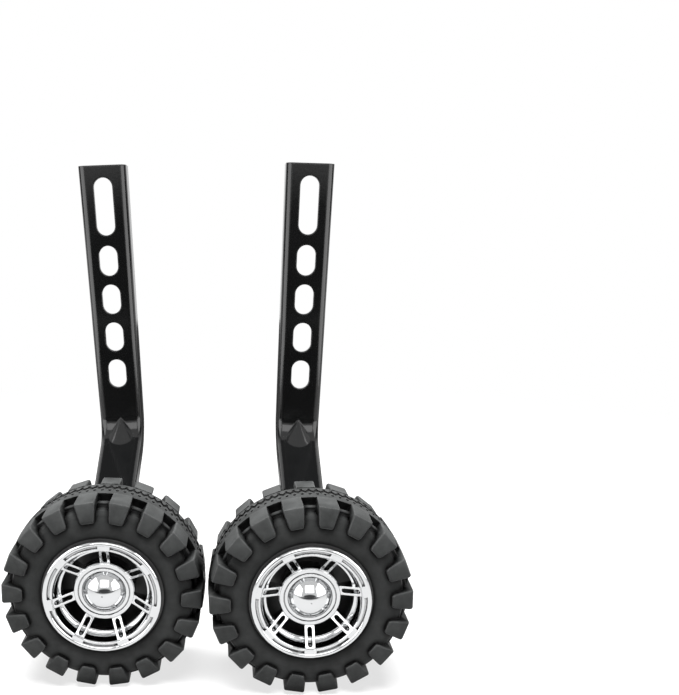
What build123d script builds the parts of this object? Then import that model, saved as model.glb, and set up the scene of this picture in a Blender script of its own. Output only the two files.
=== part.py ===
import os
from math import cos, radians, sin, tan

from build123d import *

# A pair of bicycle training wheels, side by side: X across the pair, Y towards the bicycle, Z up.
# Each unit is modelled in its own frame: y up from the axle, z inboard from the rim lip's face.
# All sizes are in millimetres.

# Arrangement of the pair
pair_gap = 1.6
pair_stagger = 9.7
arm_splay = 1.9
cover_turns = {"left": 4.5, "right": 180.0}
tyre_turns = {"left": 2.5, "right": 19.0}

# Tyre
tyre_radius = 57.7
tyre_width = 47.0
crown_drop = 0.7
band_width = 16.0
band_step = 5.1
bar_setback = 7.9
bar_width = 2.7
bar_height = 2.2
bar_draft = 0.4
bead_setback = 3.0
sidewall_bulge = 1.1
lug_count = 18
lug_shoulder_drop = 1.9
lug_reach = 13.4
lug_width = 11.8
lug_inner_width = 9.0
lug_band_width = 11.2
lug_height = 4.6
lug_proud = 3.0
lug_end_slope = 0.9
shelf_run = 3.3
lug_face_lean = 2.0
lug_top_drop = 0.5
lug_root = 3.0

# Chromed wheel cover
rim_radius = 33.6
rim_gap = 1.1
lip_width = 2.8
lip_thickness = 3.2
ring_width = 2.8
ring_step = 0.9
ring_groove = 1.1
ring_channel = 1.4
ring_bevel = 0.4
bowl_depth = 8.5
bowl_slope = 3.3
cover_wall = 1.2
skirt_wall = 1.6
skirt_length = 3.9
spoke_count = 7
spoke_width = 5.5
spoke_hub_drop = 0.3
spoke_slot_width = 2.8
spoke_slot_length = 9.4
foot_width = 6.8
foot_proud = 0.4
collar_width = 5.0
collar_height = 4.3
collar_groove = 0.7
hub_recess = 8.2

# Dome cap over the axle bolt
cap_radius = 12.4
cap_rise = 7.0
cap_wall = 1.4
cap_seat_depth = 2.5
cap_clearance = 0.2

# Wheel core
barrel_wall = 2.6
seat_clearance = 0.1
key_height = 2.0
key_width = 8.0
web_setback = 22.0
web_thickness = 3.0
hub_wall = 3.8
boss_wall = 4.9
hub_overhang = 1.0
rib_count = 8
rib_thickness = 2.0
rib_height = 11.0
rib_slope = 4.0

# Bushes, sleeve and axle bolt
bolt_radius = 5.0
bolt_clearance = 0.15
head_room = 3.1
head_flats = 17.0
head_height = 6.4
nut_height = 8.0
nut_collar_height = 2.2
nut_collar_wall = 2.6
bolt_end = 2.5
thread_chamfer = 1.0
washer_radius = 8.5
washer_thickness = 1.6
sleeve_wall = 1.9
running_clearance = 0.05
end_play = 0.3
bush_wall = 2.0
bush_length = 11.0
bush_flange_width = 2.0
bush_flange = 1.5
sleeve_room = 1.2
pocket_clearance = 0.5
spacer_length = 7.2
spacer_radius = 8.5

# Arm, a channel pressed from sheet steel
arm_width = 28.9
arm_top_width = 30.8
arm_height = 241.5
arm_offset = 62.0
arm_foot_width = 26.4
channel_depth = 13.5
sheet = 2.5
edge_round = 4.6
bend_height = 66.0
arm_lean = 66.0
bend_radius = 16.0
knee_radius = 22.0
taper_run = 8.0
slot_width = 12.0
slot_length = 19.2
slot_pitch = 25.0
slot_count = 4
long_slot_length = 36.0
long_slot_gap = 6.6
top_margin = 7.5
dart_length = 9.6
dart_run = 15.6
dart_half_width = 8.2

# Radii that follow from the sizes above
wheel_spacing = 2 * tyre_radius + pair_gap
seat_radius = rim_radius + rim_gap
barrel_radius = seat_radius - barrel_wall
lip_radius = rim_radius - lip_width
mouth_radius = lip_radius - ring_width
window_radius = mouth_radius - bowl_slope
collar_bore = cap_radius + cap_clearance
collar_radius = collar_bore + collar_width
shoulder_radius = tyre_radius - lug_shoulder_drop
lug_inner_radius = shoulder_radius - lug_reach
sidewall_radius = shoulder_radius - lug_height - shelf_run
band_radius = tyre_radius - crown_drop
sleeve_bore = bolt_radius + bolt_clearance
sleeve_radius = sleeve_bore + sleeve_wall
bush_bore = sleeve_radius + running_clearance
bush_radius = bush_bore + bush_wall
bush_flange_radius = bush_radius + bush_flange_width
pocket_radius = max(bush_flange_radius, washer_radius) + pocket_clearance
cap_seat_radius = max(cap_radius + seat_clearance, pocket_radius)
hub_radius = cap_seat_radius + hub_wall
boss_radius = bush_radius + boss_wall

# Stations along the axle, measured inboard from the face of the rim lip
collar_back = hub_recess + collar_height
cap_floor = collar_back + cap_seat_depth
head_front = hub_recess + head_room
head_back = head_front + head_height
sleeve_front = head_back + washer_thickness
bush_front = sleeve_front + end_play
hub_seat = bush_front + bush_flange
hub_back = tyre_width + hub_overhang
spacer_front = hub_back + bush_flange + end_play
foot_front = spacer_front + spacer_length
foot_back = foot_front + sheet
nut_front = foot_back + washer_thickness
nut_back = nut_front + nut_height + nut_collar_height
bolt_back = nut_back + bolt_end
arm_front = foot_front + arm_offset
arm_back = arm_front + channel_depth

# Side view of the arm
foot_radius = arm_foot_width / 2
foot_flat = foot_radius - edge_round
knee_height = bend_height - arm_offset / tan(radians(arm_lean))
cut_margin = 2.0


# Tyre: one moulding with a raised centre band and two staggered rows of lugs
with BuildPart() as lug:
    with BuildSketch(Plane.XZ):
        with BuildLine():
            Polyline(
                (lug_inner_radius, bead_setback + lug_root),
                (lug_inner_radius, bead_setback),
                (lug_inner_radius + lug_end_slope, bead_setback - lug_proud),
                (shoulder_radius, bead_setback - lug_proud + lug_face_lean),
                (tyre_radius - lug_top_drop, tyre_width / 2 - band_width / 2),
                (band_radius - band_step - lug_root, tyre_width / 2 - band_width / 2),
                close=True,
            )
        make_face()
    extrude(amount=lug_width, both=True)
    with BuildSketch(Plane.XY):
        with BuildLine():
            Polyline(
                (lug_inner_radius, -lug_inner_width / 2),
                (lug_inner_radius + lug_end_slope, -lug_inner_width / 2),
                (shoulder_radius, -lug_width / 2),
                (tyre_radius, -lug_band_width / 2),
                (tyre_radius, lug_band_width / 2),
                (shoulder_radius, lug_width / 2),
                (lug_inner_radius + lug_end_slope, lug_inner_width / 2),
                (lug_inner_radius, lug_inner_width / 2),
                close=True,
            )
        make_face()
    extrude(amount=tyre_width, both=True, mode=Mode.INTERSECT)

with BuildPart() as tyre:
    with BuildSketch(Plane.XZ):
        with BuildLine():
            band_front = tyre_width / 2 - band_width / 2
            groove_radius = band_radius - band_step
            bore = seat_radius + seat_clearance
            key_bore = seat_radius + key_height + seat_clearance
            key_front = tyre_width / 2 - key_width / 2 - seat_clearance
            sidewall = ThreePointArc(
                (bore, bead_setback),
                ((bore + sidewall_radius) / 2, bead_setback - sidewall_bulge),
                (sidewall_radius, bead_setback),
            )
            Polyline(
                sidewall @ 1,
                (shoulder_radius - lug_height, lug_height),
                (groove_radius, bar_setback),
                (groove_radius + bar_height, bar_setback + bar_draft),
                (groove_radius + bar_height, bar_setback + bar_width - bar_draft),
                (groove_radius, bar_setback + bar_width),
                (groove_radius, band_front),
                (band_radius, band_front),
            )
            crown_radius = ((band_width / 2) ** 2 + crown_drop**2) / (2 * crown_drop)
            RadiusArc((band_radius, band_front), (tyre_radius, tyre_width / 2), -crown_radius)
            Polyline(
                sidewall @ 0,
                (bore, key_front),
                (key_bore, key_front),
                (key_bore, tyre_width / 2),
                (tyre_radius, tyre_width / 2),
            )
        make_face()
        mirror(about=Plane.XZ.offset(-tyre_width / 2))
    revolve(axis=Axis.Z)
    with PolarLocations(0, lug_count):
        add(lug.part)
    with PolarLocations(0, lug_count, start_angle=180 / lug_count):
        add(mirror(lug.part, about=Plane.XY.offset(tyre_width / 2), mode=Mode.PRIVATE))


# Wheel core: barrel, web, ribs and a hub bored for two bushes
with BuildPart() as core:
    with BuildSketch(Plane.XZ):
        with BuildLine():
            bore = bush_radius + seat_clearance
            front_bore_end = hub_seat + bush_length
            rear_bore_end = hub_back - bush_length
            mid_bore = sleeve_radius + sleeve_room
            barrel_back = tyre_width - lip_thickness
            key_front = tyre_width / 2 - key_width / 2
            Polyline(
                (cap_seat_radius, collar_back),
                (cap_seat_radius, cap_floor),
                (pocket_radius, cap_floor),
                (pocket_radius, hub_seat),
                (bore, hub_seat),
                (bore, front_bore_end),
                (mid_bore, front_bore_end),
                (mid_bore, rear_bore_end),
                (bore, rear_bore_end),
                (bore, hub_back),
                (boss_radius, hub_back),
                (boss_radius, web_setback + web_thickness),
                (barrel_radius, web_setback + web_thickness),
                (barrel_radius, barrel_back),
                (seat_radius, barrel_back),
                (seat_radius, tyre_width / 2 + key_width / 2),
                (seat_radius + key_height, tyre_width / 2 + key_width / 2),
                (seat_radius + key_height, key_front),
                (seat_radius, key_front),
                (seat_radius, lip_thickness),
                (barrel_radius, lip_thickness),
                (barrel_radius, web_setback),
                (hub_radius, web_setback),
                (hub_radius, collar_back),
                close=True,
            )
        make_face()
    revolve(axis=Axis.Z)
    web_back = web_setback + web_thickness
    rib_overlap = barrel_wall / 2
    with BuildSketch(Plane.XZ) as rib_side:
        with BuildLine():
            Polyline(
                (boss_radius - rib_overlap, web_back - rib_overlap),
                (boss_radius - rib_overlap, web_back + rib_height),
                (barrel_radius + rib_overlap, web_back + rib_height - rib_slope),
                (barrel_radius + rib_overlap, web_back - rib_overlap),
                close=True,
            )
        make_face()
    ribs = extrude(amount=rib_thickness / 2, both=True, mode=Mode.PRIVATE)
    with PolarLocations(0, rib_count):
        add(ribs)


# Chromed wheel cover: lip, stepped ring, bowl and seven slotted spokes round a collar
with BuildPart() as spoke:
    with BuildSketch(Plane.XZ):
        with BuildLine():
            hub_end = collar_radius - collar_width / 2
            rim_end = mouth_radius + cover_wall / 4
            rim_front = ring_step + ring_bevel
            Polyline(
                (hub_end, hub_recess + spoke_hub_drop),
                (collar_radius, hub_recess + spoke_hub_drop),
                (rim_end, rim_front),
                (rim_end, bowl_depth),
                (window_radius + cover_wall / 2, collar_back),
                (hub_end, collar_back),
                close=True,
            )
        make_face()
    extrude(amount=spoke_width / 2, both=True)
    with BuildSketch(Plane.XY):
        with Locations(((collar_radius + mouth_radius) / 2, 0)):
            SlotOverall(spoke_slot_length, spoke_slot_width)
    extrude(amount=collar_back + cut_margin, mode=Mode.SUBTRACT)
    with BuildSketch(Plane.XY.offset(ring_step - foot_proud)):
        with Locations((mouth_radius + ring_bevel, 0)):
            Rectangle(ring_width, foot_width, align=(Align.MIN, Align.CENTER))
    extrude(amount=foot_proud + ring_groove)

with BuildPart() as cover:
    with BuildSketch(Plane.XZ):
        with BuildLine():
            skirt_radius = barrel_radius - seat_clearance
            skirt_bore = skirt_radius - skirt_wall
            ThreePointArc(
                (rim_radius, ring_step),
                (rim_radius - lip_width / 2, 0),
                (lip_radius, ring_step),
            )
            Polyline(
                (lip_radius, ring_step),
                (lip_radius, ring_step + ring_groove),
                (lip_radius - ring_channel, ring_step + ring_groove),
                (lip_radius - ring_channel, ring_step),
                (mouth_radius + ring_bevel, ring_step),
                (mouth_radius, rim_front),
            )
            EllipticalCenterArc((window_radius, rim_front), bowl_slope, bowl_depth - rim_front, arc_size=90)
            Polyline(
                (window_radius, bowl_depth),
                (window_radius, collar_back),
                (window_radius + cover_wall, collar_back),
                (mouth_radius + cover_wall, bowl_depth),
                (mouth_radius + cover_wall, lip_thickness),
                (skirt_bore, lip_thickness),
                (skirt_bore, lip_thickness + skirt_length),
                (skirt_radius, lip_thickness + skirt_length),
                (skirt_radius, lip_thickness),
                (rim_radius, lip_thickness),
                (rim_radius, ring_step),
            )
        make_face()
        with BuildLine():
            collar_mid = collar_bore + collar_width / 3
            Polyline(
                (collar_bore, collar_back),
                (collar_bore, hub_recess),
                (collar_mid, hub_recess),
                (collar_mid, hub_recess + collar_groove),
                (collar_mid + collar_groove, hub_recess + collar_groove),
                (collar_mid + collar_groove, hub_recess),
                (collar_radius - collar_groove, hub_recess),
                (collar_radius, hub_recess + collar_groove),
                (collar_radius, collar_back),
                close=True,
            )
        make_face()
    revolve(axis=Axis.Z)
    with PolarLocations(0, spoke_count, start_angle=90):
        add(spoke.part)


# Dome cap: a thin domed cup whose skirt stands in the hub
with BuildPart() as cap:
    with BuildSketch(Plane.XZ):
        with BuildLine():
            cap_bore = cap_radius - cap_wall
            dome_radius = (cap_radius**2 + cap_rise**2) / (2 * cap_rise)
            dome_centre = hub_recess - cap_rise + dome_radius
            inner_dome = dome_radius - cap_wall
            inner_edge = dome_centre - (inner_dome**2 - cap_bore**2) ** 0.5
            RadiusArc((0, hub_recess - cap_rise), (cap_radius, hub_recess), -dome_radius)
            Polyline(
                (cap_radius, hub_recess),
                (cap_radius, cap_floor),
                (cap_bore, cap_floor),
                (cap_bore, inner_edge),
            )
            RadiusArc((cap_bore, inner_edge), (0, dome_centre - inner_dome), inner_dome)
            Line((0, dome_centre - inner_dome), (0, hub_recess - cap_rise))
        make_face()
    revolve(axis=Axis.Z)


# Flanged bushes, one pressed into each end of the hub
with BuildPart() as front_bush:
    with BuildSketch(Plane.XY.offset(bush_front)):
        Circle(bush_flange_radius)
    extrude(amount=bush_flange)
    with BuildSketch(Plane.XY.offset(hub_seat)):
        Circle(bush_radius)
    extrude(amount=bush_length)
    with BuildSketch(Plane.XY.offset(bush_front)):
        Circle(bush_bore)
    extrude(amount=bush_flange + bush_length, mode=Mode.SUBTRACT)

with BuildPart() as rear_bush:
    with BuildSketch(Plane.XY.offset(hub_back)):
        Circle(bush_flange_radius)
    extrude(amount=bush_flange)
    with BuildSketch(Plane.XY.offset(hub_back)):
        Circle(bush_radius)
    extrude(amount=-bush_length)
    with BuildSketch(Plane.XY.offset(hub_back + bush_flange)):
        Circle(bush_bore)
    extrude(amount=-bush_flange - bush_length, mode=Mode.SUBTRACT)


# Axle: bolt, washers, sleeve, spacer and lock nut, all clamped to the arm's foot
with BuildPart() as axle_bolt:
    with BuildSketch(Plane.XY.offset(head_front)):
        RegularPolygon(head_flats / 2, 6, major_radius=False)
    extrude(amount=head_height)
    with BuildSketch(Plane.XY.offset(head_back)):
        Circle(bolt_radius)
    extrude(amount=bolt_back - head_back)
    chamfer(axle_bolt.faces().sort_by(Axis.Z)[-1].edges(), thread_chamfer)

with BuildPart() as outer_washer:
    with BuildSketch(Plane.XY.offset(head_back)):
        Circle(washer_radius)
        Circle(sleeve_bore, mode=Mode.SUBTRACT)
    extrude(amount=washer_thickness)

with BuildPart() as axle_sleeve:
    with BuildSketch(Plane.XY.offset(sleeve_front)):
        Circle(sleeve_radius)
        Circle(sleeve_bore, mode=Mode.SUBTRACT)
    extrude(amount=foot_front - sleeve_front)

with BuildPart() as spacer:
    with BuildSketch(Plane.XY.offset(spacer_front)):
        Circle(min(spacer_radius, foot_flat))
        Circle(bush_bore, mode=Mode.SUBTRACT)
    extrude(amount=spacer_length)

with BuildPart() as inner_washer:
    with BuildSketch(Plane.XY.offset(foot_back)):
        Circle(min(washer_radius, foot_flat))
        Circle(sleeve_bore, mode=Mode.SUBTRACT)
    extrude(amount=washer_thickness)

with BuildPart() as lock_nut:
    with BuildSketch(Plane.XY.offset(nut_front)):
        RegularPolygon(head_flats / 2, 6, major_radius=False)
    extrude(amount=nut_height)
    with BuildSketch(Plane.XY.offset(nut_front + nut_height)):
        Circle(bolt_radius + nut_collar_wall)
    extrude(amount=nut_collar_height)
    with BuildSketch(Plane.XY.offset(nut_front)):
        Circle(sleeve_bore)
    extrude(amount=nut_height + nut_collar_height, mode=Mode.SUBTRACT)


def sheet_corners(behind, top, bottom):
    """Corners of the arm's side view as (height, depth), this far behind its front face."""
    drop = behind * tan(radians(arm_lean / 2))
    return [
        (top, arm_front + behind),
        (bend_height - drop, arm_front + behind),
        (knee_height - drop, foot_front + behind),
        (bottom, foot_front + behind),
    ]


def side_view(front, back, top, bottom):
    """Outline of the arm's side view between two depths behind its front face."""
    with BuildSketch(Plane.YZ) as outline:
        with BuildLine():
            front_line = sheet_corners(front, top, bottom)
            back_line = sheet_corners(back, top, bottom)
            FilletPolyline(*front_line, radius=[bend_radius + front, knee_radius - front])
            Line(front_line[-1], back_line[-1])
            FilletPolyline(*back_line, radius=[bend_radius + back, knee_radius - back])
            Line(back_line[0], front_line[0])
        make_face()
    return outline.sketch


def front_view(inset, top):
    """Outline of the arm seen from the front, drawn in by a wall thickness."""
    upper = arm_width / 2 - inset
    lower = foot_radius - inset
    flare_start = bend_height + taper_run
    flare = (arm_top_width - arm_width) / 2 * (top - flare_start) / (arm_height - flare_start)
    with BuildSketch(Plane.XY) as outline:
        with BuildLine():
            Line((0, top), (upper + flare, top))
            Line((upper + flare, top), (upper, flare_start))
            Spline(
                (upper, flare_start),
                (lower, knee_height - taper_run),
                tangents=[(-flare, flare_start - top), (0, -1)],
            )
            Line((lower, knee_height - taper_run), (lower, 0))
            RadiusArc((lower, 0), (0, -lower), lower)
            Line((0, -lower), (0, top))
        make_face()
        mirror(about=Plane.YZ)
    return outline.sketch


# Dart pressed into the bend of the arm: a cone with its point on the web, run out on the slope below
with BuildPart() as dart:
    with Locations((0, bend_height + dart_length, arm_front)):
        Cone(
            dart_half_width * dart_run / dart_length,
            0,
            dart_run,
            rotation=(-90, 0, 0),
            align=(Align.CENTER, Align.CENTER, Align.MAX),
        )

# Hollow of the channel behind the web
with BuildPart() as hollow:
    hollow_side = side_view(sheet, channel_depth + cut_margin, arm_height + cut_margin, -foot_radius)
    extrude(hollow_side, amount=arm_width, both=True)
    hollow_front = front_view(sheet, arm_height + cut_margin)
    extrude(hollow_front, amount=arm_back + cut_margin, mode=Mode.INTERSECT)
    inner_faces = hollow.faces().filter_by(lambda face: face.normal_at().Z < -0.1)
    fillet(inner_faces.edges().filter_by(Axis.X, reverse=True), edge_round - sheet)

# Hollow of the dart, one sheet behind its face
with BuildPart() as dart_hollow:
    back_shift = sheet / cos(radians(arm_lean / 2))
    drop_shift = back_shift * sin(radians(arm_lean / 2))
    add(dart.part.moved(Location((0, -drop_shift, sheet))))
    extrude(hollow_front, amount=arm_back + cut_margin, mode=Mode.INTERSECT)

# Arm: web, side flanges, slots for the bicycle's axle and a hole for the wheel's own bolt
with BuildPart() as arm:
    extrude(side_view(0, channel_depth, arm_height, -foot_radius), amount=arm_width, both=True)
    extrude(front_view(0, arm_height), amount=arm_back, mode=Mode.INTERSECT)
    web_faces = arm.faces().filter_by(lambda face: face.normal_at().Z < -0.1)
    fillet(web_faces.edges().filter_by(Axis.X, reverse=True), edge_round)
    add(dart.part)
    add(hollow.part, mode=Mode.SUBTRACT)
    add(dart_hollow.part, mode=Mode.SUBTRACT)
    long_slot_middle = arm_height - top_margin - long_slot_length / 2
    slot_top = arm_height - top_margin - long_slot_length - long_slot_gap
    with BuildSketch(Plane.XY.offset(arm_front - cut_margin)):
        with Locations((0, long_slot_middle)):
            SlotOverall(long_slot_length, slot_width, rotation=90)
        with Locations(*[(0, slot_top - slot_length / 2 - slot_pitch * i) for i in range(slot_count)]):
            SlotOverall(slot_length, slot_width, rotation=90)
    extrude(amount=sheet + 2 * cut_margin, mode=Mode.SUBTRACT)
    with BuildSketch(Plane.XY.offset(foot_front - cut_margin)):
        Circle(sleeve_bore)
    extrude(amount=sheet + 2 * cut_margin, mode=Mode.SUBTRACT)


# Both units, placed side by side and written out
wheel_pieces = {
    "wheel_cover": (cover, cover_turns),
    "hub_cap": (cap, cover_turns),
    "wheel_core": (core, cover_turns),
    "front_bush": (front_bush, cover_turns),
    "rear_bush": (rear_bush, cover_turns),
    "tyre": (tyre, tyre_turns),
}
fixed_pieces = {
    "arm": arm,
    "axle_bolt": axle_bolt,
    "outer_washer": outer_washer,
    "axle_sleeve": axle_sleeve,
    "spacer": spacer,
    "inner_washer": inner_washer,
    "lock_nut": lock_nut,
}
os.makedirs("parts", exist_ok=True)
for side, direction in (("left", -1), ("right", 1)):
    unit = Plane(
        origin=(
            direction * wheel_spacing / 2,
            -arm_back / 2 - direction * pair_stagger / 2,
            tyre_radius,
        ),
        x_dir=(-1, 0, 0),
        z_dir=(0, 1, 0),
    ).location
    for name, (piece, turns) in wheel_pieces.items():
        placed = piece.part.moved(unit * Rotation(0, 0, turns[side]))
        placed.label = f"{side}_{name}"
        export_step(placed, f"parts/{side}_{name}.step")
    for name, piece in fixed_pieces.items():
        placed = piece.part.moved(unit * Rotation(0, 0, direction * arm_splay))
        placed.label = f"{side}_{name}"
        export_step(placed, f"parts/{side}_{name}.step")
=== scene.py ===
# %% [markdown]
# A pair of bicycle training wheels: two pressed steel arms, each with a knobbly tyre, a chromed
# cover and a domed hub cap. All of it could be modelled again here, but the imported solids already fit
# each other, so they are loaded first as a fixed frame, and only what they lack is added.

# %% load the frame
from math import cos, pi, radians, sin

import bmesh
import bpy
from mathutils import Matrix, Vector


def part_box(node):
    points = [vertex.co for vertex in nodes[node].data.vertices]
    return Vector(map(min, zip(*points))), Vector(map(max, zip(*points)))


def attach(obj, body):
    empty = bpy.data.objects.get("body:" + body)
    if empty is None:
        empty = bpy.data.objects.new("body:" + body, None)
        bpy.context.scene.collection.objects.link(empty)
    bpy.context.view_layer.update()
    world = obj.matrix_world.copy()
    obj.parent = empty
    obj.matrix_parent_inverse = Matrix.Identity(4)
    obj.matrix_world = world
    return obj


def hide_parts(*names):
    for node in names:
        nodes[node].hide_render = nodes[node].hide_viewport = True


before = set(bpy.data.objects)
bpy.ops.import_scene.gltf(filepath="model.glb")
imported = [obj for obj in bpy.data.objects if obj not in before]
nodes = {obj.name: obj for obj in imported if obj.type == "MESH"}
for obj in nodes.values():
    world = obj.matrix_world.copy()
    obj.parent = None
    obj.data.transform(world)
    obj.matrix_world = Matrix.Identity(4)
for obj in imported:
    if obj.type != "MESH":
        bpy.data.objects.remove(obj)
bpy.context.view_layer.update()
scene = bpy.context.scene
scene.view_settings.view_transform = "Standard"

# %% [markdown]
# The photograph was taken from in front and a little above, and from so near that the arms lean apart in
# it more than they do on the real pair. Tilting the arms could fake that, but a camera at the same spot
# gives it by itself. The pair stands left of and below the middle of the picture, so the lens is shifted
# instead of being turned towards the pair.

# %% camera
IMAGE_WIDTH = 679
FOCAL_PIXELS = 740
LENS_SHIFT = (0.15, 0.1148)
CAMERA_PLACE = (0.01319, -0.44147, 0.25278)
CAMERA_TURN, CAMERA_TILT, CAMERA_ROLL = -0.764, 90 - 14.117, -0.252

camera_data = bpy.data.cameras.new("camera")
camera_data.sensor_fit = "HORIZONTAL"
camera_data.sensor_width = 36.0
camera_data.lens = FOCAL_PIXELS * camera_data.sensor_width / IMAGE_WIDTH
camera_data.shift_x, camera_data.shift_y = LENS_SHIFT
camera_data.clip_start = 0.01
camera = bpy.data.objects.new("camera", camera_data)
turn = Matrix.Rotation(radians(CAMERA_TURN), 4, "Z")
tilt = Matrix.Rotation(radians(CAMERA_TILT), 4, "X")
roll = Matrix.Rotation(radians(CAMERA_ROLL), 4, "Z")
camera.matrix_world = Matrix.Translation(CAMERA_PLACE) @ turn @ tilt @ roll
scene.collection.objects.link(camera)
scene.camera = camera
print("lens", round(camera_data.lens, 2))

# %% [markdown]
# A finish is a net of nodes. Each node could be made and joined by hand in every material, but the same
# few lines would come back dozens of times, so three helpers do it: one starts a material and sets the
# plain numbers on its Principled shader, one adds a node, and one joins two sockets.

# %% helpers for nodes
def new_material(name, **sockets):
    material = bpy.data.materials.new(name)
    material.use_nodes = True
    shader = material.node_tree.nodes["Principled BSDF"]
    for socket, value in sockets.items():
        shader.inputs[socket.replace("_", " ")].default_value = value
    return material, shader


def add_node(owner, kind, **values):
    """A new node in a material or world. Values go to its sockets, or else to its settings."""
    node = owner.node_tree.nodes.new(kind)
    for name, value in values.items():
        socket = name.replace("_", " ")
        if socket in node.inputs:
            node.inputs[socket].default_value = value
        else:
            setattr(node, name, value)
    return node


def link(owner, source, target):
    owner.node_tree.links.new(source, target)


print("node helpers ready")

# %% [markdown]
# No real surface is the same all over. Painted pictures could bring that, but they would have to be laid
# out on every piece. Noise in the object's own coordinates needs no layout, and it stays with the piece
# when it turns. A ramp makes colours or roughness of the noise, and a bump makes fine relief. The bump
# also rounds sharp edges for the light, as moulded and painted edges are always a little round.

# %% helpers for finishes
def noise(material, scale, detail=4.0, roughness=0.55):
    place = add_node(material, "ShaderNodeTexCoord")
    texture = add_node(material, "ShaderNodeTexNoise", Scale=scale, Detail=detail, Roughness=roughness)
    link(material, place.outputs["Object"], texture.inputs["Vector"])
    return texture.outputs["Fac"]


def ramp(material, source, *stops):
    """Colours by two stops, each a place on the ramp and a colour."""
    node = add_node(material, "ShaderNodeValToRGB")
    for element, (place, colour) in zip(node.color_ramp.elements, stops):
        element.position = place
        element.color = (*colour, 1)
    link(material, source, node.inputs["Fac"])
    return node.outputs["Color"]


def grey(value):
    return (value, value, value)


def bump(material, shader, source, strength, distance, edge):
    node = add_node(material, "ShaderNodeBump", Strength=strength, Distance=distance)
    link(material, source, node.inputs["Height"])
    soft = add_node(material, "ShaderNodeBevel", samples=6, Radius=edge)
    link(material, soft.outputs["Normal"], node.inputs["Normal"])
    link(material, node.outputs["Normal"], shader.inputs["Normal"])


print("finish helpers ready")

# %% [markdown]
# The arm's paint is gloss black, sprayed over the pressing. It has a slight orange peel and thin dust, and
# it is otherwise a mirror for whatever stands around it. One black with a low roughness would come near,
# but it would be the same all over. So a thin clear coat lies on a nearly black base, with the dust as a
# cloudy roughness and the orange peel as a faint bump.

# %% arm paint
arm_paint, shader = new_material(
    "arm_paint", Base_Color=(0.0022, 0.0023, 0.0024, 1), Specular_IOR_Level=0.38,
    Coat_Weight=0.12, Coat_Roughness=0.06,
)
peel = noise(arm_paint, scale=420, detail=3)
cloud = noise(arm_paint, scale=60, detail=5)
dulled = ramp(arm_paint, cloud, (0.3, grey(0.09)), (0.75, grey(0.17)))
link(arm_paint, dulled, shader.inputs["Roughness"])
bump(arm_paint, shader, peel, strength=0.05, distance=0.0004, edge=0.0012)
print("made", arm_paint.name)

# %% [markdown]
# Rubber looks dark in its gaps and seams, where little light comes, and pale along its worn edges. Here
# both go into the colour: the dark is painted shade, and the pale edges are wear with a painted highlight.
# Both could be painted on by hand, but nodes find them on any shape: ambient occlusion is low in a gap,
# and near an edge a bevelled normal departs from the plain one.

# %% painted shade in gaps and seams, and pale edges
def recess(material, distance):
    """1 on open faces, lower in gaps and corners, where painted shade goes."""
    node = add_node(material, "ShaderNodeAmbientOcclusion", samples=8, Distance=distance)
    return node.outputs["AO"]


def worn_and_highlit_edges(material, radius):
    """1 near a sharp edge, 0 on flat faces."""
    soft = add_node(material, "ShaderNodeBevel", samples=6, Radius=radius)
    plain = add_node(material, "ShaderNodeNewGeometry")
    agree = add_node(material, "ShaderNodeVectorMath", operation="DOT_PRODUCT")
    link(material, soft.outputs["Normal"], agree.inputs[0])
    link(material, plain.outputs["Normal"], agree.inputs[1])
    return ramp(material, agree.outputs["Value"], (0.86, grey(1)), (0.985, grey(0)))


def blend(material, kind, factor, first, second):
    node = add_node(material, "ShaderNodeMix", data_type="RGBA", blend_type=kind)
    for socket, value in ((node.inputs[0], factor), (node.inputs[6], first), (node.inputs[7], second)):
        if isinstance(value, bpy.types.NodeSocket):
            link(material, value, socket)
        else:
            socket.default_value = value
    return node.outputs[2]


print("wear helpers ready")

# %% [markdown]
# The tyre is dull black rubber from a mould. It is greyer where it is dusty, and its skin is finely
# grained. One shade for all of it would hide the tread, so one recipe makes three: the body, the paler
# lugs, lighter partly from rubbing on the ground and partly as painted light on their raised faces, and
# the grooves, kept nearly black as painted shade. The pale edges, wear with a painted highlight, are added
# before the gaps get their painted shade, so that only outer edges turn pale.

# %% tyre rubber
GAP_REACH, SEAM_REACH, EDGE_REACH = 0.012, 0.003, 0.0012


def cool(value):
    """A grey with a little more green and blue than red in it."""
    return (value, value * 1.035, value * 1.03)


def rubber(name, dark, light, edge_wear_and_highlight):
    material, shader = new_material(name, Specular_IOR_Level=0.08)
    dust = noise(material, scale=90, detail=6, roughness=0.6)
    skin = ramp(material, dust, (0.25, cool(dark)), (0.8, cool(light)))
    # Painted shade: ambient occlusion darkens the colour in gaps (gap_shade) and in seams (seam_shade).
    gap_shade = ramp(material, recess(material, GAP_REACH), (0.50, grey(0.03)), (0.97, grey(1)))
    seam_shade = ramp(material, recess(material, SEAM_REACH), (0.62, grey(0.01)), (0.98, grey(1)))
    # The pale edges are wear together with a painted highlight, added to the colour before the painted
    # shade.
    skin = blend(material, "ADD", worn_and_highlit_edges(material, EDGE_REACH), skin, (*grey(edge_wear_and_highlight), 1))
    skin = blend(material, "MULTIPLY", 1.0, skin, gap_shade)
    skin = blend(material, "MULTIPLY", 1.0, skin, seam_shade)
    link(material, skin, shader.inputs["Base Color"])
    dulled = ramp(material, dust, (0.3, grey(0.32)), (0.8, grey(0.52)))
    link(material, dulled, shader.inputs["Roughness"])
    grain = noise(material, scale=700, detail=8, roughness=0.7)
    bump(material, shader, grain, strength=0.35, distance=0.0003, edge=0.0006)
    return material


tyre_rubber = rubber("tyre_rubber", dark=0.017, light=0.037, edge_wear_and_highlight=0.03)
# The lugs' lighter rubber is partly wear and partly painted light on their raised faces.
lug_rubber = rubber("lug_rubber", dark=0.022, light=0.048, edge_wear_and_highlight=0.04)
# The groove rubber is near black: painted shade in the grooves.
groove_rubber = rubber("groove_rubber", dark=0.002, light=0.004, edge_wear_and_highlight=0.0)
print("made", tyre_rubber.name, lug_rubber.name, groove_rubber.name)

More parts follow.
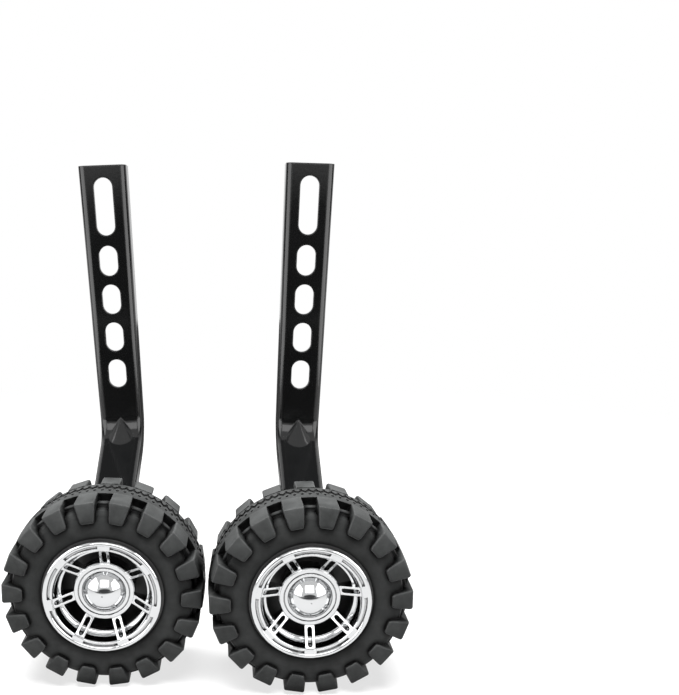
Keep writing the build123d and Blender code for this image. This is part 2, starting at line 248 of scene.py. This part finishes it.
# %% [markdown]
# The cover and the cap are moulded plastic with bright chrome plating. The plating follows every small
# wave of the moulding, so what it mirrors wavers a little. A perfect mirror would look too clean, so the
# roughness is cloudy and a faint bump bends the image. On the cover, the narrow folds of the ring are
# also darkened, because they mirror mostly each other. The open dome keeps the plain plating.

# %% chrome plating
CHROME = (0.53, 0.535, 0.54)
FOLD_REACH = 0.002


def chrome_plating(name):
    material, shader = new_material(name, Metallic=1.0, Base_Color=(*CHROME, 1))
    haze = noise(material, scale=130, detail=4)
    dulled = ramp(material, haze, (0.3, grey(0.03)), (0.8, grey(0.09)))
    link(material, dulled, shader.inputs["Roughness"])
    waves = noise(material, scale=160, detail=2)
    bump(material, shader, waves, strength=0.05, distance=0.0004, edge=0.0004)
    return material, shader


cap_chrome, _ = chrome_plating("cap_chrome")
cover_chrome, shader = chrome_plating("cover_chrome")
fold = ramp(cover_chrome, recess(cover_chrome, FOLD_REACH), (0.30, grey(0.03)), (0.70, CHROME))
link(cover_chrome, fold, shader.inputs["Base Color"])
print("made", cap_chrome.name, cover_chrome.name)

# %% [markdown]
# The core behind the cover and the spacer are plain black plastic, and the bushes are natural nylon, which
# lets a little light in. They show so little that flat colours might do, but the core is seen through the
# cover's windows. So all of them are satin as from a mould, with a cloudy roughness or colour and a fine
# grain, and the two black ones share a recipe.

# %% core, spacer and bushes
def black_plastic(name, shade, cloud, smooth, dull, grain, edge):
    material, shader = new_material(name, Base_Color=(*grey(shade), 1))
    satin = ramp(material, noise(material, cloud), (0.3, grey(smooth)), (0.8, grey(dull)))
    link(material, satin, shader.inputs["Roughness"])
    bump(material, shader, noise(material, scale=900), strength=grain, distance=0.0002, edge=edge)
    return material


core_plastic = black_plastic(
    "core_plastic", shade=0.012, cloud=140, smooth=0.35, dull=0.55, grain=0.08, edge=0.0004,
)
spacer_plastic = black_plastic(
    "spacer_plastic", shade=0.015, cloud=160, smooth=0.4, dull=0.6, grain=0.06, edge=0.0003,
)

bush_nylon, shader = new_material("bush_nylon", Subsurface_Weight=0.1)
cloud = noise(bush_nylon, scale=200)
milky = ramp(bush_nylon, cloud, (0.3, (0.70, 0.69, 0.64)), (0.8, (0.78, 0.77, 0.73)))
link(bush_nylon, milky, shader.inputs["Base Color"])
grain = noise(bush_nylon, scale=900)
bump(bush_nylon, shader, grain, strength=0.05, distance=0.0002, edge=0.0003)
print("made", core_plastic.name, spacer_plastic.name, bush_nylon.name)

# %% [markdown]
# Bolt, washers, sleeve and nut are steel with bright zinc. An even grey metal might do for such small
# pieces, but bright zinc is a little blotchy, so one noise drives both its colour and its roughness.

# %% zinc of the fasteners
zinc_steel, shader = new_material("zinc_steel", Metallic=1.0)
blotch = noise(zinc_steel, scale=240, detail=5)
zinc = ramp(zinc_steel, blotch, (0.3, (0.55, 0.56, 0.57)), (0.8, (0.68, 0.69, 0.70)))
link(zinc_steel, zinc, shader.inputs["Base Color"])
dulled = ramp(zinc_steel, blotch, (0.3, grey(0.22)), (0.8, grey(0.38)))
link(zinc_steel, dulled, shader.inputs["Roughness"])
grain = noise(zinc_steel, scale=1200)
bump(zinc_steel, shader, grain, strength=0.05, distance=0.0002, edge=0.0003)
print("made", zinc_steel.name)

# %% [markdown]
# The solids already have the right shapes, apart from the fine relief of the tyres, so they stay and only
# get their finish. Each could be named in turn, but both units are alike, so the part of a node's name
# after its side says which finish it takes.

# %% give each node its finish
finishes = {
    "wheel_cover": cover_chrome, "hub_cap": cap_chrome, "wheel_core": core_plastic,
    "front_bush": bush_nylon, "rear_bush": bush_nylon, "tyre": tyre_rubber, "arm": arm_paint,
    "axle_bolt": zinc_steel, "outer_washer": zinc_steel, "axle_sleeve": zinc_steel,
    "spacer": spacer_plastic, "inner_washer": zinc_steel, "lock_nut": zinc_steel,
}
for name, node in nodes.items():
    node.data.materials.clear()
    node.data.materials.append(finishes[name.split("_", 1)[1]])
print("finished nodes", len(nodes))

# %% [markdown]
# Each tyre is one rubber moulding, round apart from its lugs and its tread pattern. It could be turned
# with a screw modifier, but here one helper sweeps a list of (radius, depth) points round the axle, so
# that the band and the lugs can be added to the same mesh with the same angles. Sizes are in millimetres,
# and depth runs from the tyre's outer face to the back.

# %% tyre sizes
MM = 0.001
TYRE_RADIUS, TYRE_WIDTH = 57.7, 47.0
BAND_WIDTH, BAND_EDGE = 16.0, 57.0
BEAD_RADIUS, BEAD_SETBACK = 34.8, 3.0
LUG_COUNT = 18
TYRE_TURNS = {"left": 2.5, "right": 19.0}
band_front = (TYRE_WIDTH - BAND_WIDTH) / 2


def spot(radius, depth, angle):
    """A point at this angle round the axle; angles run from the viewer's left over the top."""
    return Vector((-radius * cos(angle), depth, radius * sin(angle))) * MM


def sweep(bm, section, steps):
    rings = [[bm.verts.new(spot(r, d, 2 * pi * i / steps)) for r, d in section] for i in range(steps)]
    for ring, after in zip(rings, rings[1:] + rings[:1]):
        for j in range(len(section)):
            k = (j + 1) % len(section)
            bm.faces.new((ring[j], ring[k], after[k], after[j]))


print("tread band starts", band_front, "mm behind the outer face")

# %% [markdown]
# The body under the lugs has a smooth sidewall that bulges a little, a low shelf, a bar that ties
# neighbouring lugs together, and a deep pocket before the tread band. It could be cut from a plain ring,
# but a swept section puts every step exactly where it belongs. The sidewall is a curve through three
# points, the rest is a list of corners, and the back half is the front half mirrored.

# %% tyre body
def arc(start, middle, end, steps):
    """Points on a parabola through three points, near enough to a flat arc."""
    points = []
    for i in range(steps + 1):
        t = i / steps
        a, b, c = (1 - t) * (1 - 2 * t), 4 * t * (1 - t), t * (2 * t - 1)
        points.append(tuple(a * p + b * q + c * s for p, q, s in zip(start, middle, end)))
    return points


sidewall = arc((BEAD_RADIUS, BEAD_SETBACK), (41.2, 1.9), (47.9, 3.0), steps=10)
shelf = [(49.3, 3.3), (50.9, 4.3), (51.4, 5.2)]
bar = [(52.0, 7.7), (52.6, 8.0), (53.6, 8.1), (54.0, 8.5), (54.2, 10.4)]
pocket = [
    (53.9, 10.8), (52.3, 11.2), (51.9, 11.8),
    (52.1, band_front - 0.3), (52.7, band_front), (BAND_EDGE, band_front),
]
half_section = sidewall + shelf + bar + pocket
body_section = half_section + [(r, TYRE_WIDTH - d) for r, d in reversed(half_section)]
print("points in the body's section", len(body_section))

# %% [markdown]
# The tread band carries a zigzag groove round its middle and a row of small pits on each side of it. A
# bump could stand for them, but it would cast no shadow and leave the tyre's outline smooth. So the
# pattern is real shape: one formula says how far each point of the band is pressed in.

# %% tread pattern
BAND_TEETH = 84
ZIGZAG_SWING, ZIGZAG_HALF_WIDTH, ZIGZAG_DEPTH = 1.4, 1.7, 2.3
PIT_OFFSET, PIT_RADIUS_SQUARED, PIT_DEPTH = 4.0, 0.75, 1.3


def press(angle, across):
    """How far the band is pressed in at an angle and a distance from its middle line."""
    tooth = angle * BAND_TEETH / (2 * pi)
    saw = abs(2 * (tooth % 1) - 1) * 2 - 1
    groove = max(0.0, 1 - ((across - ZIGZAG_SWING * saw) / ZIGZAG_HALF_WIDTH) ** 2)
    pitch = 2 * pi * TYRE_RADIUS / BAND_TEETH
    along = ((tooth + 0.5) % 1 - 0.5) * pitch
    pit = max(0.0, 1 - (along**2 + (abs(across) - PIT_OFFSET) ** 2) / PIT_RADIUS_SQUARED)
    return ZIGZAG_DEPTH * groove**0.5 + PIT_DEPTH * pit**0.5


def crown(across):
    """The band's radius before anything is pressed in, lowest at its two edges."""
    return TYRE_RADIUS - (TYRE_RADIUS - BAND_EDGE) * (2 * across / BAND_WIDTH) ** 2


print("teeth round the band", BAND_TEETH)

# %% [markdown]
# The band itself is a grid of points at those depths. It could be equally fine everywhere, but that would
# spend faces where nothing happens, so its columns are close where the pattern is and wider at the plain
# edges. Faces that lie deep enough take the groove rubber, whose near black is painted shade in the groove.

# %% tread band
# Deep faces of the band take the groove rubber, which is painted shade.
GROOVE_SHADE_FINISH, GROOVE_DARK_FROM = 2, 0.6
STEPS_PER_TOOTH = 10
PATTERN_REACH, PATTERN_GAP, PATTERN_COLUMNS = 4.8, 0.4, 25
PLAIN_COLUMNS = [5.2, 6.2, 7.2, 8.0]


def make_band(bm):
    pattern = [-PATTERN_REACH + PATTERN_GAP * i for i in range(PATTERN_COLUMNS)]
    columns = [-c for c in reversed(PLAIN_COLUMNS)] + pattern + PLAIN_COLUMNS
    steps = BAND_TEETH * STEPS_PER_TOOTH
    rings = []
    for i in range(steps):
        angle = 2 * pi * i / steps
        places = [spot(crown(c) - press(angle, c), TYRE_WIDTH / 2 + c, angle) for c in columns]
        rings.append([bm.verts.new(place) for place in places])
    for i, ring in enumerate(rings):
        after = rings[(i + 1) % steps]
        for j in range(len(columns) - 1):
            face = bm.faces.new((ring[j], ring[j + 1], after[j + 1], after[j]))
            halfway = (columns[j] + columns[j + 1]) / 2
            if press(2 * pi * (i + 0.5) / steps, halfway) > GROOVE_DARK_FROM:
                face.material_index = GROOVE_SHADE_FINISH


print("steps round the band", BAND_TEETH * STEPS_PER_TOOTH)

# %% [markdown]
# A lug has a tapered face on the sidewall, a crease at the shoulder and a top that runs into the band. A
# bevelled block could stand for it, but it would have neither the taper nor the crease. So the lug is
# skinned over stations that go up its end, along the face and over the shoulder to the band. Each station
# has a top point, a root point inside the body and a half width, and its two corners are rounded.

# %% lug sections
LUG_STATIONS = (
    ((44.5, 4.0), (44.9, 5.2), 3.3),
    ((44.4, 1.2), (45.0, 5.2), 3.4),
    ((44.65, 0.40), (45.2, 5.4), 3.6),
    ((45.4, 0.14), (45.8, 5.6), 4.0),
    ((46.6, 0.30), (46.8, 5.8), 4.4),
    ((55.1, 1.55), (50.4, 7.0), 5.75),
    ((56.1, 2.0), (50.8, 7.4), 5.85),
    ((56.7, 3.0), (51.0, 8.0), 5.85),
    ((57.3, band_front + 0.4), (51.7, band_front + 0.4), 5.6),
)
LUG_DRAFT = 0.5
LUG_ROUND = 1.1


def lug_section(top, root, half):
    """Points over one station, as (radius, depth, sideways)."""
    fall = Vector(root) - Vector(top)
    fall.normalize()
    corner = []
    for angle in (0, pi / 6, pi / 3, pi / 2):
        lowered = Vector(top) + fall * LUG_ROUND * (1 - cos(angle))
        corner.append((*lowered, half - LUG_ROUND * (1 - sin(angle))))
    corner.append((*root, half + LUG_DRAFT))
    return [(r, d, -s) for r, d, s in reversed(corner)] + corner


print("stations along a lug", len(LUG_STATIONS))

# %% [markdown]
# The tyre has a row of lugs on each side, and a lug is placed by the angle of its middle line. The back row
# could be modelled by itself, but it is the front row mirrored, half a pitch further round, so one helper
# makes both.

# %% lugs
LUG_FINISH = 1


def add_lug(bm, angle, back):
    out = Vector((-cos(angle), 0, sin(angle)))
    along = Vector((sin(angle), 0, cos(angle)))
    rows = []
    for station in LUG_STATIONS:
        row = []
        for radius, depth, sideways in lug_section(*station):
            inward = Vector((0, TYRE_WIDTH - depth if back else depth, 0))
            row.append(bm.verts.new((out * radius + along * sideways + inward) * MM))
        rows.append(row)
    for row, after in zip(rows, rows[1:]):
        for i in range(len(row) - 1):
            face = bm.faces.new((row[i], row[i + 1], after[i + 1], after[i]))
            face.material_index = LUG_FINISH


print("lugs in a row", LUG_COUNT)

# %% [markdown]
# Body, band and lugs could be objects of their own, but the real tyre is one moulding, so they go into one
# mesh. Faces are smooth, and an edge stays sharp where it turns by more than the crease angle, such as at
# a lug's shoulder. The order of the three rubbers is the order of the finish numbers above.

# %% one tyre's mesh
TYRE_CREASE = 28
BODY_STEPS = 180


def tyre_mesh(name, turned):
    bm = bmesh.new()
    sweep(bm, body_section, BODY_STEPS)
    make_band(bm)
    for k in range(LUG_COUNT):
        for back in (False, True):
            add_lug(bm, radians(turned + (k + 0.5 * back) * 360 / LUG_COUNT), back)
    bmesh.ops.recalc_face_normals(bm, faces=bm.faces)
    mesh = bpy.data.meshes.new(name)
    bm.to_mesh(mesh)
    bm.free()
    mesh.shade_smooth()
    mesh.set_sharp_from_angle(angle=radians(TYRE_CREASE))
    for finish in (tyre_rubber, lug_rubber, groove_rubber):
        mesh.materials.append(finish)
    return mesh


print("steps round the body", BODY_STEPS)

# %% [markdown]
# Each tyre sits where its solid sits and turns with its wheel. Both could share one mesh, but each wheel
# has stopped at its own place, so each mesh is made with its lugs turned by its own angle.

# %% tyres
for side, turned in TYRE_TURNS.items():
    low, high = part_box(f"{side}_tyre")
    middle = (low + high) / 2
    name = f"{side}_rubber_tyre"
    tyre = bpy.data.objects.new(name, tyre_mesh(name, turned))
    scene.collection.objects.link(tyre)
    tyre.location = (middle.x, low.y, middle.z)
    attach(tyre, f"{side}_wheel")
    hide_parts(f"{side}_tyre")
    print(tyre.name, len(tyre.data.polygons), "faces")

# %% [markdown]
# The pair stands on a white sheet in soft light from above, as a small product does in a studio. A whole
# room could be built round it, but a sheet, a lamp and a few cards give the same picture and are easier to
# change. Their materials share four helpers: a smooth fade, a length, a mix of two shaders, and the link
# to what the surface shows.

# %% helpers for the studio
def fade(owner, source, start, end, first=0.0, last=1.0):
    """Goes smoothly from first to last while the source goes from start to end."""
    node = add_node(
        owner, "ShaderNodeMapRange", interpolation_type="SMOOTHSTEP",
        From_Min=start, From_Max=end, To_Min=first, To_Max=last,
    )
    link(owner, source, node.inputs["Value"])
    return node.outputs["Result"]


def length_of(owner, vector):
    node = add_node(owner, "ShaderNodeVectorMath", operation="LENGTH")
    link(owner, vector, node.inputs[0])
    return node.outputs["Value"]


def mix_shaders(owner, share, first, second):
    node = add_node(owner, "ShaderNodeMixShader")
    for source, socket in zip((share, first.outputs[0], second.outputs[0]), node.inputs):
        link(owner, source, socket)
    return node


def show_surface(material, shader):
    link(material, shader.outputs[0], material.node_tree.nodes["Material Output"].inputs["Surface"])


print("studio helpers ready")

# %% [markdown]
# A sheet that is white enough for the eye would throw too much light up at the black rubber, so the sheet
# has two natures: a grey one that lights the pair, and a white one to look at. The white one could be a
# plain glow, but then it would have no shadow. Near the wheels it glows a little under a lit surface, which
# leaves the shadow pale grey, and further out the glow alone makes it white and hides where it ends.

# %% two natures of the sheet
SHEET_BOUNCE, SHEET_LIT, SHEET_GLOW = 0.38, 0.2, 0.74
GLOW_STARTS, GLOW_ALONE = 0.25, 0.9

sheet, grey_sheet = new_material("floor_sheet", Base_Color=(*grey(SHEET_BOUNCE), 1), Roughness=0.9)
lit = add_node(sheet, "ShaderNodeBsdfDiffuse", Color=(*grey(SHEET_LIT), 1))
glow = add_node(sheet, "ShaderNodeEmission", Strength=SHEET_GLOW)
near = add_node(sheet, "ShaderNodeAddShader")
link(sheet, lit.outputs[0], near.inputs[0])
link(sheet, glow.outputs[0], near.inputs[1])
far = add_node(sheet, "ShaderNodeEmission", Strength=1.0)
place = add_node(sheet, "ShaderNodeNewGeometry")
reach = length_of(sheet, place.outputs["Position"])
white_sheet = mix_shaders(sheet, fade(sheet, reach, GLOW_STARTS, GLOW_ALONE), near, far)
print("made", sheet.name)

# %% [markdown]
# The floor is one large plane with that sheet on it, a hair below the wheels so that the two don't meet in
# one surface. Two planes could carry the two natures, but Light Path can tell them apart on one: rays from
# the eye and from mirrors get the white sheet, and all others the grey one.

# %% floor
FLOOR_SIZE, FLOOR_HEIGHT = 60, -0.0002

path = add_node(sheet, "ShaderNodeLightPath")
seen = add_node(sheet, "ShaderNodeMath", operation="MAXIMUM")
link(sheet, path.outputs["Is Camera Ray"], seen.inputs[0])
link(sheet, path.outputs["Is Glossy Ray"], seen.inputs[1])
show_surface(sheet, mix_shaders(sheet, seen.outputs[0], grey_sheet, white_sheet))
bpy.ops.mesh.primitive_plane_add(size=FLOOR_SIZE, location=(0, 0, FLOOR_HEIGHT))
floor = bpy.context.object
floor.name = "floor"
floor.data.materials.append(sheet)
print("made", floor.name)

# %% [markdown]
# Beyond the sheet, mirrors see a studio that is white in front, above and behind, and that falls off to
# both sides. One even white would be simpler, but then the arms' side faces would turn grey, and gloss
# black in a room mirrors something dark there.

# %% mirrored studio
SIDES_START, SIDES_FULL = 0.78, 0.94
MIRRORED_WHITE, MIRRORED_SIDES = 1.0, 0.12

world = bpy.data.worlds.new("studio")
scene.world = world
world.use_nodes = True
look = add_node(world, "ShaderNodeTexCoord")
split = add_node(world, "ShaderNodeSeparateXYZ")
link(world, look.outputs["Generated"], split.inputs[0])
sideways = add_node(world, "ShaderNodeMath", operation="ABSOLUTE")
link(world, split.outputs["X"], sideways.inputs[0])
mirrored = fade(world, sideways.outputs[0], SIDES_START, SIDES_FULL, MIRRORED_WHITE, MIRRORED_SIDES)
print("mirrored sides", MIRRORED_SIDES)

# %% [markdown]
# The same studio is white to the eye and dim as a light, so that the lamp above shapes the rubber. A white
# world could light everything, but it would flatten the lugs. Light Path picks the strength instead: white
# for the eye, the mirrored studio for gloss, and a little ambient light for the rest.

# %% world
AMBIENT = 0.08

path = add_node(world, "ShaderNodeLightPath")
light_or_mirrored = add_node(world, "ShaderNodeMix", data_type="FLOAT")
light_or_mirrored.inputs[2].default_value = AMBIENT
link(world, path.outputs["Is Glossy Ray"], light_or_mirrored.inputs[0])
link(world, mirrored, light_or_mirrored.inputs[3])
level = add_node(world, "ShaderNodeMix", data_type="FLOAT")
level.inputs[3].default_value = 1.0
link(world, path.outputs["Is Camera Ray"], level.inputs[0])
link(world, light_or_mirrored.outputs[0], level.inputs[2])
background = world.node_tree.nodes["Background"]
background.inputs["Color"].default_value = (1, 1, 1, 1)
link(world, level.outputs[0], background.inputs["Strength"])
print("made", world.name)

# %% [markdown]
# One large soft lamp hangs over the pair, a little to the front. More lamps could light it evenly, but one
# from above lights the tops of the lugs and leaves the sidewalls darker. The chrome and the paint don't
# mirror it, because the white studio and the panels below already give them their highlights.

# %% lamp
LAMP_PLACE, LAMP_AIM = (-0.05, -0.16, 1.2), (0, 0, 0.1)
LAMP_SIZE, LAMP_POWER = (0.9, 0.7), 68


def aim(place, towards):
    return (Vector(towards) - Vector(place)).to_track_quat("-Z", "Y").to_euler()


lamp = bpy.data.lights.new("overhead_softbox", "AREA")
lamp.shape = "RECTANGLE"
lamp.size, lamp.size_y = LAMP_SIZE
lamp.energy = LAMP_POWER
softbox = bpy.data.objects.new("overhead_softbox", lamp)
softbox.location = LAMP_PLACE
softbox.rotation_euler = aim(LAMP_PLACE, LAMP_AIM)
softbox.visible_glossy = False
scene.collection.objects.link(softbox)
print("lamp", lamp.energy, "W")

# %% [markdown]
# Gloss black and chrome show only what they mirror. The studio's walls could be modelled for them, but a
# few cards in the right places are enough. A card is a plane that mirrors see, and that neither the eye nor
# the light on the rubber meets.

# %% helper for cards
def mirror_card(name, place, size, turned, material):
    bpy.ops.mesh.primitive_plane_add(size=1, location=place)
    card = bpy.context.object
    card.name = name
    card.scale = (*size, 1)
    card.rotation_euler = turned
    card.visible_camera = card.visible_shadow = card.visible_diffuse = False
    card.data.materials.append(material)
    print("made", name)


# %% [markdown]
# In a white studio gloss black would turn grey. Darker paint can't help that, so dark cards stand where the
# arms and the chrome should mirror something dark: in front, on the floor before and behind the pair, and
# overhead at the back. They fade out towards their edges, because a sharp edge would show in the paint.

# %% dark cards
CARD_SHADE = 0.09
EDGE_STARTS, EDGE_ENDS = 0.36, 0.5
FLAT, UPRIGHT = (0, 0, 0), (radians(90), 0, 0)

dark, _ = new_material("dark_card")
spread = add_node(dark, "ShaderNodeTexCoord")
soft_edge = fade(dark, length_of(dark, spread.outputs["Object"]), EDGE_STARTS, EDGE_ENDS)
black = add_node(dark, "ShaderNodeEmission", Color=(*grey(CARD_SHADE), 1))
clear = add_node(dark, "ShaderNodeBsdfTransparent")
show_surface(dark, mix_shaders(dark, soft_edge, black, clear))
mirror_card("dark_card", (0.0, -1.9, 0.0), (2.2, 1.05), UPRIGHT, dark)
mirror_card("dark_mat", (0.0, -1.1, 0.002), (1.6, 1.7), FLAT, dark)
mirror_card("dark_ceiling", (0.0, 0.68, 1.25), (2.6, 1.2), FLAT, dark)
mirror_card("back_mat", (0.0, 1.15, 0.002), (2.6, 2.0), FLAT, dark)

# %% [markdown]
# Bright panels give the highlights: one on each side for the rounded edges of the arms and the dome, and
# one high in front for the bends. Lamps could do it too, but they would also light the rubber and add
# shadows. Panels that only mirrors see do neither.

# %% bright panels
SIDE_PANEL, FRONT_PANEL = (0.80, 0.56), (1.1, 0.9)
BETWEEN, LOW_MIDDLE = (0, -0.38, 0.34), (0, 0, 0.15)

panel_light, _ = new_material(
    "panel_light", Emission_Color=(1, 1, 1, 1), Emission_Strength=4.0, Base_Color=(0, 0, 0, 1),
)
for name, place, towards, size in (
    ("left_panel", (-0.50, -0.38, 0.34), BETWEEN, SIDE_PANEL),
    ("right_panel", (0.50, -0.38, 0.34), BETWEEN, SIDE_PANEL),
    ("front_panel", (0.0, -1.3, 0.98), LOW_MIDDLE, FRONT_PANEL),
):
    mirror_card(name, place, size, aim(place, towards), panel_light)
